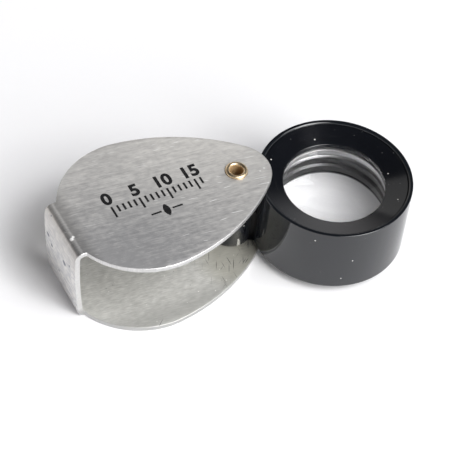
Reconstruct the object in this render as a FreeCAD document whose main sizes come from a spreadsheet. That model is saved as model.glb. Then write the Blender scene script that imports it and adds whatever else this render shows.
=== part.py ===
"""Pocket folding magnifier: a two-leaf case and a lens drum that swings out of it.

Frame: the origin is the middle of the hollow pivot eyelet, +Z runs up along the pivot,
and the case lies towards -X.  Everything is in millimetres and degrees.
"""
import FreeCAD, Part
import math
import os
import Sketcher

os.makedirs("parts", exist_ok=True)
doc = FreeCAD.newDocument("folding_magnifier")

DRIVING_DIMENSIONS = {
    # case: two leaves joined by a web, bent from one strip
    "case_height": 15.9,      # over the outer faces of the two leaves
    "sheet": 0.9,             # thickness of the strip
    "leaf_radius": 13.7,      # round end of a leaf, next to the web
    "leaf_reach": 17.4,       # from the pivot to the centre of that round end
    "tip_radius": 5.9,        # round tip of a leaf, about the pivot
    "side_radius": 34.0,      # bulging sides between round end and tip
    "tab_width": 11.6,        # width of the web and of the tabs it grows from
    "web_reach": 31.8,        # from the pivot to the web's outermost line
    "web_radius": 100.0,      # the web bows slightly and leans in towards its foot
    "bend_radius": 1.4,       # outside radius of the two bends
    # pivot: a hollow eyelet, rolled over above and set flush below
    "bore_radius": 1.1,
    "eyelet_radius": 1.45,
    "head_radius": 1.9,
    "pivot_clearance": 0.05,  # running clearance between eyelet and lug
    # lens drum
    "lens_offset": 16.65,     # from the pivot to the optical axis
    "swing_angle": -23.6,     # how far the drum is swung from the case's centre line
    "drum_radius": 13.0,
    "drum_height": 12.8,
    "drum_lift": 0.05,        # the drum sits slightly high between the leaves
    "lug_radius": 3.75,
    "lug_height": 13.9,
    "neck_width": 4.0,        # web of material between lug and drum
    # mouth of the drum; the aperture is the same at both ends
    "rim_radius": 12.25,      # inside edge of the flat rim
    "rim_step": 0.35,         # the bezel's outer edge lies this far below the rim
    "aperture_radius": 8.6,
    "funnel_depth": 1.5,      # from the rim down to the edge of the aperture
    "seat_depth": 2.3,        # from the rim down to the flat of the glass
    "foot_funnel_depth": 0.5,
    "foot_seat_depth": 0.9,   # the lower glass lies on a thin shoulder
    # lens stack
    "cell_radius": 9.75,      # bore that holds the glasses and the spacer
    "stack_radius": 9.7,
    "lens_edge": 1.2,
    "upper_curve": 40.0,      # radii of the convex faces, together tenfold
    "lower_curve": 18.5,
    "spacer_bore": 8.8,
    "spacer_ridge": 0.45,     # how deep the grooves between its ridges are
    "spacer_play": 0.02,
    # ridges and grooves of the spacer, as shares of half its length
    "outer_ridge": 0.6,       # the outer ridges run from here to the ends
    "groove_outside": 0.5,
    "groove_inside": 0.3,
    "middle_ridge": 0.2,
}

dims = doc.addObject("Spreadsheet::Sheet", "dims")
for row, (alias, number) in enumerate(DRIVING_DIMENSIONS.items(), start=1):
    dims.set("A%d" % row, alias)
    dims.set("B%d" % row, str(number))
    dims.setAlias("B%d" % row, alias)
doc.recompute()

# Sketcher's names for a sketch's origin point, and for the points of a line or an arc.
ORIGIN = (-1, 1)
START, END, CENTRE = 1, 2, 3


def value(expression):
    """Evaluate an expression written in the sheet's aliases."""
    return float(dims.evalExpression(expression))


def new_body(label):
    body = doc.addObject("PartDesign::Body", label)
    body.Label = label
    return body


def new_sketch(body, name, plane_role):
    """Attach an empty sketch to one of the body's own origin planes."""
    sketch = body.newObject("Sketcher::SketchObject", name)
    plane = next(item for item in body.Origin.OriginFeatures if item.Role == plane_role)
    sketch.AttachmentSupport = [(plane, "")]
    sketch.MapMode = "FlatFace"
    return sketch


def constrain(sketch, kind, *references):
    return sketch.addConstraint(Sketcher.Constraint(kind, *references))


def dimension(sketch, name, kind, references, expression):
    """Add a named dimension and bind it to the sheet."""
    index = constrain(sketch, kind, *references, value(expression))
    sketch.renameConstraint(index, name)
    sketch.setExpression("Constraints." + name, expression)


def place_point(sketch, name, vertex, x_expression, y_expression):
    """Fix a vertex at expressions for its two sketch coordinates."""
    dimension(sketch, name + "_x", "DistanceX", ORIGIN + vertex, x_expression)
    dimension(sketch, name + "_y", "DistanceY", ORIGIN + vertex, y_expression)


def arc(centre, radius, start, end):
    """Counter-clockwise arc between the directions of two points seen from its centre."""
    angles = [math.atan2(point[1] - centre[1], point[0] - centre[0]) for point in (start, end)]
    circle = Part.Circle(FreeCAD.Vector(centre[0], centre[1], 0), FreeCAD.Vector(0, 0, 1), radius)
    return Part.ArcOfCircle(circle, angles[0], angles[1])


def segment(start, end):
    return Part.LineSegment(FreeCAD.Vector(start[0], start[1], 0), FreeCAD.Vector(end[0], end[1], 0))


def polygon(sketch, name, corners):
    """Closed polygon whose corners are pairs of expressions."""
    points = [(value(x), value(y)) for x, y in corners]
    first = sketch.GeometryCount
    for index, point in enumerate(points):
        sketch.addGeometry(segment(point, points[(index + 1) % len(points)]))
    for index, (x, y) in enumerate(corners):
        line = first + index
        following = first + (index + 1) % len(points)
        constrain(sketch, "Coincident", line, END, following, START)
        place_point(sketch, "%s_%d" % (name, index), (line, START), x, y)


def circle(sketch, name, x_expression, radius_expression):
    """Circle centred on the sketch's X axis."""
    centre = FreeCAD.Vector(value(x_expression), 0, 0)
    shape = Part.Circle(centre, FreeCAD.Vector(0, 0, 1), value(radius_expression))
    index = sketch.addGeometry(shape)
    place_point(sketch, name, (index, CENTRE), x_expression, "0")
    dimension(sketch, name + "_radius", "Radius", (index,), radius_expression)


def pad(body, name, sketch, length_expression):
    feature = body.newObject("PartDesign::Pad", name)
    feature.Profile = sketch
    feature.Midplane = True
    feature.setExpression("Length", length_expression)
    return feature


def pocket_through(body, name, sketch):
    feature = body.newObject("PartDesign::Pocket", name)
    feature.Profile = sketch
    feature.Type = "ThroughAll"
    feature.Midplane = True
    return feature


def turn(body, name, kind, sketch):
    """Full turn of a profile about the body's own Z axis, as a Revolution or a Groove."""
    feature = body.newObject("PartDesign::" + kind, name)
    feature.Profile = sketch
    feature.ReferenceAxis = (sketch, ["V_Axis"])
    feature.Angle = 360
    return feature


def set_on_optical_axis(part):
    """Place a part of the lens drum, modelled about its own axis, at the swung-out position."""
    part.setExpression("Placement.Base.x", "dims.lens_offset * cos(dims.swing_angle)")
    part.setExpression("Placement.Base.y", "dims.lens_offset * sin(dims.swing_angle)")
    part.setExpression("Placement.Base.z", "dims.drum_lift")
    part.setExpression("Placement.Rotation.Angle", "dims.swing_angle")


def volume_falls(body, cut, label):
    """A cut that points away from the solid removes nothing, so compare volumes."""
    before = cut.BaseFeature.Shape.Volume
    after = cut.Shape.Volume
    if not after < before:
        raise RuntimeError("%s of %s cuts nothing" % (label, body.Label))


# --- case ------------------------------------------------------------------------------

def leaf_corner_points():
    """Where the bulging side meets the round end and the tip, on the +Y side."""
    end_radius = value("dims.leaf_radius")
    tip_radius = value("dims.tip_radius")
    side_radius = value("dims.side_radius")
    reach = value("dims.leaf_reach")
    to_end = side_radius - end_radius
    to_tip = side_radius - tip_radius
    along = (to_end ** 2 - to_tip ** 2 + reach ** 2) / (2 * reach)
    across = math.sqrt(to_end ** 2 - along ** 2)
    centre = (along - reach, -across)

    def touch(other_centre, distance):
        scale = side_radius / distance
        return (centre[0] + (other_centre[0] - centre[0]) * scale,
                centre[1] + (other_centre[1] - centre[1]) * scale)

    return centre, touch((-reach, 0), to_end), touch((0, 0), to_tip)


def draw_case_outline(sketch):
    """Plan of the strip: a teardrop about the pivot, and a tab that carries the web."""
    side_centre, end_touch, tip_touch = leaf_corner_points()
    end_centre = (-value("dims.leaf_reach"), 0)
    half_tab = value("dims.tab_width / 2")
    notch_x = end_centre[0] - math.sqrt(value("dims.leaf_radius") ** 2 - half_tab ** 2)
    tab_end = -value("dims.web_reach + dims.tab_width")

    def mirrored(point):
        return (point[0], -point[1])

    notch = (notch_x, half_tab)
    side_radius = value("dims.side_radius")
    end_radius = value("dims.leaf_radius")
    outline = [
        segment((tab_end, half_tab), notch),
        arc(end_centre, end_radius, end_touch, notch),
        arc(side_centre, side_radius, tip_touch, end_touch),
        arc((0, 0), value("dims.tip_radius"), mirrored(tip_touch), tip_touch),
        arc(mirrored(side_centre), side_radius, mirrored(end_touch), mirrored(tip_touch)),
        arc(end_centre, end_radius, mirrored(notch), mirrored(end_touch)),
        segment(mirrored(notch), (tab_end, -half_tab)),
        segment((tab_end, -half_tab), (tab_end, half_tab)),
    ]
    upper_tab, upper_end, upper_side, tip, lower_side, lower_end, lower_tab, tab_edge = range(8)
    sketch.addGeometry(outline)
    constrain(sketch, "Coincident", upper_tab, END, upper_end, END)
    constrain(sketch, "Tangent", upper_end, START, upper_side, END)
    constrain(sketch, "Tangent", upper_side, START, tip, END)
    constrain(sketch, "Tangent", tip, START, lower_side, END)
    constrain(sketch, "Tangent", lower_side, START, lower_end, END)
    constrain(sketch, "Coincident", lower_end, START, lower_tab, START)
    constrain(sketch, "Coincident", lower_tab, END, tab_edge, START)
    constrain(sketch, "Coincident", tab_edge, END, upper_tab, START)
    constrain(sketch, "Horizontal", upper_tab)
    constrain(sketch, "Horizontal", lower_tab)
    constrain(sketch, "Coincident", lower_end, CENTRE, upper_end, CENTRE)
    constrain(sketch, "Equal", lower_end, upper_end)
    constrain(sketch, "Equal", lower_side, upper_side)
    place_point(sketch, "end_centre", (upper_end, CENTRE), "-dims.leaf_reach", "0")
    place_point(sketch, "tip_centre", (tip, CENTRE), "0", "0")
    past_web = "-dims.web_reach - dims.tab_width"
    place_point(sketch, "tab_top", (tab_edge, END), past_web, "dims.tab_width / 2")
    place_point(sketch, "tab_foot", (tab_edge, START), past_web, "-dims.tab_width / 2")
    dimension(sketch, "end_radius", "Radius", (upper_end,), "dims.leaf_radius")
    dimension(sketch, "side_radius", "Radius", (upper_side,), "dims.side_radius")
    dimension(sketch, "tip_radius", "Radius", (tip,), "dims.tip_radius")


def draw_case_section(sketch, inset):
    """Side view of the bent strip, or of the space inside it when inset is the sheet."""
    half = "(dims.case_height / 2 - %s)" % inset
    bend = "(dims.bend_radius - %s)" % inset
    web = "(dims.web_radius - %s)" % inset
    web_line = "(-dims.web_reach + %s)" % inset
    open_end = "dims.leaf_radius"
    top = value(half)
    bend_radius = value(bend)
    web_radius = value(web)
    web_centre = (value(web_line) + web_radius, top - bend_radius)
    top_bend = (value(web_line) + bend_radius, top - bend_radius)
    # The lower bend is inside the web's arc and rests on the lower face.
    drop = -top + bend_radius - web_centre[1]
    foot_bend_x = web_centre[0] - math.sqrt((web_radius - bend_radius) ** 2 - drop ** 2)
    foot_bend = (foot_bend_x, -top + bend_radius)
    scale = web_radius / (web_radius - bend_radius)
    foot_touch = (web_centre[0] + (foot_bend[0] - web_centre[0]) * scale,
                  web_centre[1] + (foot_bend[1] - web_centre[1]) * scale)
    web_top = (value(web_line), top_bend[1])
    end_x = value(open_end)
    sketch.addGeometry([
        segment((end_x, top), (top_bend[0], top)),
        arc(top_bend, bend_radius, (top_bend[0], top), web_top),
        arc(web_centre, web_radius, web_top, foot_touch),
        arc(foot_bend, bend_radius, foot_touch, (foot_bend[0], -top)),
        segment((foot_bend[0], -top), (end_x, -top)),
        segment((end_x, -top), (end_x, top)),
    ])
    top_line, upper_bend, web_arc, lower_bend, foot_line, end_line = range(6)
    constrain(sketch, "Tangent", top_line, END, upper_bend, START)
    constrain(sketch, "Tangent", upper_bend, END, web_arc, START)
    constrain(sketch, "Tangent", web_arc, END, lower_bend, START)
    constrain(sketch, "Tangent", lower_bend, END, foot_line, START)
    constrain(sketch, "Coincident", foot_line, END, end_line, START)
    constrain(sketch, "Coincident", end_line, END, top_line, START)
    constrain(sketch, "Equal", upper_bend, lower_bend)
    constrain(sketch, "Horizontal", upper_bend, CENTRE, web_arc, CENTRE)
    place_point(sketch, "top_end", (end_line, END), open_end, half)
    place_point(sketch, "foot_end", (end_line, START), open_end, "-" + half)
    constrain(sketch, "Horizontal", top_line)
    constrain(sketch, "Horizontal", foot_line)
    dimension(sketch, "bend", "Radius", (upper_bend,), bend)
    dimension(sketch, "web", "Radius", (web_arc,), web)
    dimension(sketch, "web_line", "DistanceX", ORIGIN + (web_arc, START), web_line)


def make_case_shell():
    body = new_body("case_shell")
    outer = new_sketch(body, "bent_strip", "XZ_Plane")
    draw_case_section(outer, "0")
    pad(body, "block", outer, "4 * dims.leaf_radius")
    inner = new_sketch(body, "lens_space", "XZ_Plane")
    draw_case_section(inner, "dims.sheet")
    doc.recompute()
    cuts = [pocket_through(body, "gap", inner)]

    plan = new_sketch(body, "plan", "XY_Plane")
    draw_case_outline(plan)
    far_x = "dims.web_reach + 2 * dims.tab_width"
    far_y = "3 * dims.leaf_radius"
    corners = [("-(%s)" % far_x, "-(%s)" % far_y), (far_x, "-(%s)" % far_y),
               (far_x, far_y), ("-(%s)" % far_x, far_y)]
    polygon(plan, "waste", corners)
    doc.recompute()
    cuts.append(pocket_through(body, "trim", plan))

    holes = new_sketch(body, "eyelet_holes", "XY_Plane")
    circle(holes, "hole", "0", "dims.eyelet_radius")
    doc.recompute()
    cuts.append(pocket_through(body, "eyelet_hole", holes))

    sink = body.newObject("PartDesign::SubtractiveCone", "countersink")
    sink.setExpression("Radius1", "dims.head_radius")
    sink.setExpression("Radius2", "dims.eyelet_radius")
    sink.setExpression("Height", "dims.head_radius - dims.eyelet_radius")
    sink.setExpression("Placement.Base.z", "-dims.case_height / 2")
    cuts.append(sink)
    doc.recompute()
    for cut in cuts:
        volume_falls(body, cut, cut.Name)
    return body


def make_pivot_eyelet():
    """Thin tube with a rolled head on top and a flared foot in the countersink."""
    body = new_body("pivot_eyelet")
    sketch = new_sketch(body, "eyelet_half_section", "XZ_Plane")
    half = "dims.case_height / 2"
    corners = [
        ("dims.bore_radius", half),
        ("dims.bore_radius", "-%s" % half),
        ("dims.head_radius", "-%s" % half),
        ("dims.eyelet_radius", "-%s + dims.head_radius - dims.eyelet_radius" % half),
        ("dims.eyelet_radius", half),
        ("dims.head_radius", half),
    ]
    points = [(value(x), value(z)) for x, z in corners]
    for start, end in zip(points, points[1:]):
        sketch.addGeometry(segment(start, end))
    roll = (points[0][0] + points[-1][0]) / 2
    centre = (roll, points[0][1])
    head = sketch.addGeometry(arc(centre, roll - points[0][0], points[-1], points[0]))
    for index in range(head):
        x, z = corners[index]
        place_point(sketch, "corner_%d" % index, (index, START), x, z)
        if index:
            constrain(sketch, "Coincident", index - 1, END, index, START)
    place_point(sketch, "head_edge", (head - 1, END), *corners[-1])
    constrain(sketch, "Coincident", head - 1, END, head, START)
    constrain(sketch, "Coincident", head, END, 0, START)
    dimension(sketch, "roll_level", "DistanceY", ORIGIN + (head, CENTRE), half)
    turn(body, "eyelet_tube", "Revolution", sketch)
    return body


# --- lens drum -------------------------------------------------------------------------

HALF_DRUM = "(dims.drum_height / 2)"
SEAT = "(%s - dims.seat_depth)" % HALF_DRUM
MOUTH = "(%s - dims.funnel_depth)" % HALF_DRUM
FOOT_SEAT = "(%s - dims.foot_seat_depth)" % HALF_DRUM
FOOT_MOUTH = "(%s - dims.foot_funnel_depth)" % HALF_DRUM


def make_lens_barrel():
    """Drum with a lug: a shoulder below carries the glasses, the upper end takes the bezel."""
    body = new_body("lens_barrel")
    drum = new_sketch(body, "drum_plan", "XY_Plane")
    circle(drum, "drum", "0", "dims.drum_radius")
    pad(body, "drum", drum, "dims.drum_height")

    neck = new_sketch(body, "neck_plan", "XY_Plane")
    neck_ends = ("-dims.lens_offset", "-(dims.drum_radius + dims.cell_radius) / 2")
    half_neck = "dims.neck_width / 2"
    polygon(neck, "neck", [(neck_ends[0], "-" + half_neck), (neck_ends[1], "-" + half_neck),
                           (neck_ends[1], half_neck), (neck_ends[0], half_neck)])
    doc.recompute()
    pad(body, "neck", neck, "dims.drum_height")

    lug = new_sketch(body, "lug_plan", "XY_Plane")
    lug.setExpression("AttachmentOffset.Base.z", "-dims.drum_lift")
    circle(lug, "lug", "-dims.lens_offset", "dims.lug_radius")
    doc.recompute()
    pad(body, "lug", lug, "dims.lug_height")

    bore = new_sketch(body, "pivot_plan", "XY_Plane")
    circle(bore, "pivot", "-dims.lens_offset", "dims.eyelet_radius + dims.pivot_clearance")
    doc.recompute()
    cuts = [pocket_through(body, "pivot_bore", bore)]

    inside = new_sketch(body, "inside_half_section", "XZ_Plane")
    polygon(inside, "inside", [
        ("0", "-" + HALF_DRUM),
        ("dims.rim_radius", "-" + HALF_DRUM),
        ("dims.aperture_radius", "-" + FOOT_MOUTH),
        ("dims.aperture_radius", "-" + FOOT_SEAT),
        ("dims.cell_radius", "-" + FOOT_SEAT),
        ("dims.cell_radius", SEAT),
        ("dims.rim_radius", SEAT),
        ("dims.rim_radius", HALF_DRUM),
        ("0", HALF_DRUM),
    ])
    doc.recompute()
    cuts.append(turn(body, "cell", "Groove", inside))
    doc.recompute()
    for cut in cuts:
        volume_falls(body, cut, cut.Name)
    return body


def make_front_bezel():
    """Funnel-shaped ring pressed into the drum's mouth to hold the stack."""
    body = new_body("front_bezel")
    sketch = new_sketch(body, "bezel_half_section", "XZ_Plane")
    polygon(sketch, "bezel", [
        ("dims.aperture_radius", SEAT),
        ("dims.rim_radius", SEAT),
        ("dims.rim_radius", HALF_DRUM + " - dims.rim_step"),
        ("dims.aperture_radius", MOUTH),
    ])
    turn(body, "bezel", "Revolution", sketch)
    return body


def make_lens(label, facing):
    """Plano-convex glass: flat face outward, convex face towards the middle of the drum.

    facing is 1 for the upper glass and -1 for the lower one.
    """
    seat = SEAT if facing > 0 else FOOT_SEAT
    curve = "dims.upper_curve" if facing > 0 else "dims.lower_curve"
    blank = doc.addObject("Part::Cylinder", label + "_blank")
    ball = doc.addObject("Part::Sphere", label + "_ball")
    blank.setExpression("Radius", "dims.stack_radius")
    blank.setExpression("Height", seat)
    ball.setExpression("Radius", curve)
    rim_height = "sqrt(%s ^ 2 - dims.stack_radius ^ 2)" % curve
    middle = "(%s - dims.lens_edge + %s)" % (seat, rim_height)
    if facing > 0:
        ball.setExpression("Placement.Base.z", middle)
    else:
        blank.setExpression("Placement.Base.z", "-" + seat)
        ball.setExpression("Placement.Base.z", "-" + middle)
    lens = doc.addObject("Part::Common", label)
    lens.Label = label
    lens.Base = blank
    lens.Tool = ball
    return lens


def spacer_end(seat, curve):
    """Distance from the drum's middle to the end of the spacer that touches a glass at its bore."""
    bulge = "(sqrt({0} ^ 2 - dims.spacer_bore ^ 2) - sqrt({0} ^ 2 - dims.stack_radius ^ 2))"
    return "(%s - dims.lens_edge - %s - dims.spacer_play)" % (seat, bulge.format(curve))


def make_spacer_ring():
    """Turned ring between the glasses, with three ridges and two grooves inside.

    Its ends touch the convex faces at its bore, so its length follows their curve.
    """
    body = new_body("spacer_ring")
    sketch = new_sketch(body, "spacer_half_section", "XZ_Plane")
    top = spacer_end(SEAT, "dims.upper_curve")
    foot = spacer_end(FOOT_SEAT, "dims.lower_curve")
    half = "((%s + %s) / 2)" % (top, foot)
    middle = "(%s - %s) / 2" % (top, foot)
    bore = "dims.spacer_bore"
    groove = "(dims.spacer_bore + dims.spacer_ridge)"
    inside = [
        (bore, "1"),
        (bore, "dims.outer_ridge"),
        (groove, "dims.groove_outside"),
        (groove, "dims.groove_inside"),
        (bore, "dims.middle_ridge"),
    ]
    profile = [("dims.stack_radius", "-1"), ("dims.stack_radius", "1")] + inside
    profile += [(radius, "-" + share) for radius, share in reversed(inside)]
    polygon(sketch, "spacer", [(radius, "%s + %s * %s" % (middle, share, half))
                               for radius, share in profile])
    turn(body, "spacer", "Revolution", sketch)
    return body


case_parts = [make_case_shell(), make_pivot_eyelet()]
lens_parts = [
    make_lens_barrel(),
    make_front_bezel(),
    make_lens("front_lens", 1),
    make_spacer_ring(),
    make_lens("rear_lens", -1),
]
for lens_part in lens_parts:
    set_on_optical_axis(lens_part)
doc.recompute()

for item in doc.Objects:
    if "Invalid" in item.State or "Error" in item.State:
        raise RuntimeError("%s failed: %s" % (item.Name, item.State))

for piece in case_parts + lens_parts:
    if piece.Shape.isNull() or not piece.Shape.isValid() or len(piece.Shape.Solids) != 1:
        raise RuntimeError("%s is not one valid solid" % piece.Label)
    piece.Shape.exportStep("parts/%s.step" % piece.Label)
    box = piece.Shape.BoundBox
    print("%-13s %9.2f mm3  x %.2f..%.2f  y %.2f..%.2f  z %.2f..%.2f" % (
        piece.Label, piece.Shape.Volume, box.XMin, box.XMax, box.YMin, box.YMax, box.ZMin, box.ZMax))
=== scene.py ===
"""Looks of a pocket folding magnifier: brushed aluminium case, brass eyelet, black lens drum.

Everything is modelled in millimetres about the pivot, or about the optical axis for the parts
of the lens drum, and scaled to metres where a mesh is made.
"""
from functools import partialmethod
from math import asin, atan2, cos, dist, exp, hypot, pi, radians, remainder, sin, sqrt, tan

import bmesh
import bpy
from mathutils import Matrix, Vector
from mathutils.geometry import delaunay_2d_cdt


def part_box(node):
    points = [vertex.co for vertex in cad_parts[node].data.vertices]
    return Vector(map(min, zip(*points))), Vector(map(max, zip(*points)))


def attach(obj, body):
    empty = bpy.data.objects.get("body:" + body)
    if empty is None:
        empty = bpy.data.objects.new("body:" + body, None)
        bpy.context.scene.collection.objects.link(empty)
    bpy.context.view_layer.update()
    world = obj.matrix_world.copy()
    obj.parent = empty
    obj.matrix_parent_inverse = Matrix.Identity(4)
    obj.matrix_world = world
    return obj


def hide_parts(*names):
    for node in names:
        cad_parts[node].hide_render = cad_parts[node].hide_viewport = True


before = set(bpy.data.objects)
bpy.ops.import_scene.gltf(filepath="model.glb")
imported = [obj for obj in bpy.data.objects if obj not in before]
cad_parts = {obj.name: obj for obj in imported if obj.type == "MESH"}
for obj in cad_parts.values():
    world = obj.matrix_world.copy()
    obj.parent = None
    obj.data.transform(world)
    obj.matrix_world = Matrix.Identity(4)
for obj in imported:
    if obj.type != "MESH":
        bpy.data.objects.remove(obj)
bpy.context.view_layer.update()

MM = 0.001


def box_mm(node):
    """Lowest and highest corner of a CAD node in millimetres."""
    low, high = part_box(node)
    return low / MM, high / MM


# --- sizes in millimetres ---

case_low, case_high = box_mm("case_shell")
CASE_TOP = case_high.z  # outer face of the upper leaf; the lower leaf mirrors it
SHEET = 0.9
TIP_RADIUS = case_high.x
LEAF_RADIUS = case_high.y
LEAF_REACH = 17.4  # pivot to the centre of the leaf's round end
SIDE_RADIUS = 34.0
HALF_TAB = 5.8
BEND_RADIUS = 1.4
WEB_X = case_low.x
WEB_RADIUS = 100.0
NOTCH_X = -LEAF_REACH - sqrt(LEAF_RADIUS ** 2 - HALF_TAB ** 2)
EYELET_RADIUS = 1.45
EYELET_BORE = 1.1
EYELET_HEAD = box_mm("pivot_eyelet")[1].x

glass_low, glass_high = box_mm("front_lens")
AXIS_X = (glass_low.x + glass_high.x) / 2
AXIS_Y = (glass_low.y + glass_high.y) / 2
LENS_OFFSET = hypot(AXIS_X, AXIS_Y)
SWING = atan2(AXIS_Y, AXIS_X)
DRUM_LIFT = 0.05  # the drum's middle lies this far above the pivot's
HALF_DRUM = 6.4
DRUM_RADIUS = 13.0
LUG_RADIUS = 3.75
LUG_TOP = box_mm("lens_barrel")[1].z - DRUM_LIFT
LUG_FOOT = box_mm("lens_barrel")[0].z - DRUM_LIFT
LUG_HOLE = 1.5
NECK_FILLET = 0.5
NECK_HALF = 2.6  # the fillets lie within this distance of the lug's centre line
RIM_RADIUS = 12.25
RIM_ROUND = 0.36  # rounding of the rim's inner edge
RIM_STEP = 0.35  # from the rim down to the bezel's outer edge
APERTURE = 8.6
MOUTH = HALF_DRUM - 1.5  # height of the aperture's edge
SEAT = HALF_DRUM - 2.3  # height of the upper glass's flat face
FOOT_MOUTH = HALF_DRUM - 0.5  # the same two for the lower aperture, measured downwards
FOOT_SEAT = HALF_DRUM - 0.9
CELL_RADIUS = 9.75
STACK_RADIUS = 9.7
LENS_EDGE = 1.2
UPPER_CURVE = 40.0
LOWER_CURVE = 18.5
SPACER_BORE = 8.8
SPACER_GROOVE = 9.25
SPACER_PLAY = 0.02


# --- mesh helpers ---

ROUND_STEPS = 5


def spread(start, end, steps):
    """Evenly spaced values from start to end, both included."""
    return [start + (end - start) * step / steps for step in range(steps + 1)]


def arc_points(centre, radius, start, end, steps):
    """Points on an arc between two angles in radians, both ends included."""
    return [(centre[0] + radius * cos(turn), centre[1] + radius * sin(turn))
            for turn in spread(start, end, steps)]


def rounded(corners):
    """Closed profile whose corners (x, y, radius) are replaced by arcs."""
    profile = []
    for index, (x, y, radius) in enumerate(corners):
        here = Vector((x, y))
        back = (Vector(corners[index - 1][:2]) - here).normalized()
        ahead = (Vector(corners[(index + 1) % len(corners)][:2]) - here).normalized()
        half = back.angle(ahead) / 2
        centre = here + (back + ahead).normalized() * radius / sin(half)
        first = here + back * radius / tan(half) - centre
        last = here + ahead * radius / tan(half) - centre
        start = atan2(first.y, first.x)
        sweep = remainder(atan2(last.y, last.x) - start, 2 * pi)
        profile += arc_points(centre, radius, start, start + sweep, ROUND_STEPS)
    return profile


def new_object(name, content):
    """Object of the scene around a mesh, lamp or camera."""
    item = bpy.data.objects.new(name, content)
    bpy.context.scene.collection.objects.link(item)
    return item


def piece_from(name, edit, materials, sharp_angle=None):
    """Turn a millimetre bmesh into an object with its materials."""
    bmesh.ops.remove_doubles(edit, verts=edit.verts, dist=1e-4)
    bmesh.ops.recalc_face_normals(edit, faces=edit.faces)
    bmesh.ops.scale(edit, vec=(MM, MM, MM), verts=edit.verts)
    mesh = bpy.data.meshes.new(name)
    edit.to_mesh(mesh)
    edit.free()
    mesh.shade_smooth()
    if sharp_angle:
        mesh.set_sharp_from_angle(angle=radians(sharp_angle))
    for material in materials:
        mesh.materials.append(material)
    return new_object(name, mesh)


def bridge(edit, row, following, closed=True):
    """Quads between two rows of vertices."""
    faces = []
    for index in range(len(row) if closed else len(row) - 1):
        after = (index + 1) % len(row)
        faces.append(edit.faces.new((row[index], row[after], following[after], following[index])))
    return faces


def lathe(name, profile, material, steps=192, sharp_angle=40):
    """Closed profile of (radius, z) turned about the Z axis."""
    edit = bmesh.new()
    rings = []
    for turn in spread(0, 2 * pi, steps)[:-1]:
        rings.append([edit.verts.new((r * cos(turn), r * sin(turn), z)) for r, z in profile])
    for ring, following in zip(rings, rings[1:] + rings[:1]):
        for index in range(len(profile)):
            after = (index + 1) % len(profile)
            if profile[index][0] == 0 and profile[after][0] == 0:
                continue
            edit.faces.new((ring[index], following[index], following[after], ring[after]))
    return piece_from(name, edit, [material], sharp_angle)


def keep_faces_flat(piece):
    """Let the large faces set the shading next to their rounded edges."""
    normals = piece.modifiers.new("flat_faces", "WEIGHTED_NORMAL")
    normals.keep_sharp = True


def soften_edges(piece, width, angle):
    """Round every edge sharper than the angle and keep the flat faces flat."""
    bevel = piece.modifiers.new("rounded_edges", "BEVEL")
    bevel.width = width * MM
    bevel.segments = 3
    bevel.limit_method = "ANGLE"
    bevel.angle_limit = radians(angle)
    bevel.use_clamp_overlap = False
    keep_faces_flat(piece)


def stand_for(piece, node, body):
    """Hide a CAD node and let a piece show it, moving with the node's body."""
    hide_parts(node)
    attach(piece, body)


def set_on_axis(piece):
    """Move a part modelled about the optical axis to the swung-out drum."""
    place = Matrix.Translation(Vector((AXIS_X, AXIS_Y, DRUM_LIFT)) * MM)
    piece.data.transform(place @ Matrix.Rotation(SWING, 4, "Z"))


# --- material helpers ---

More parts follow.
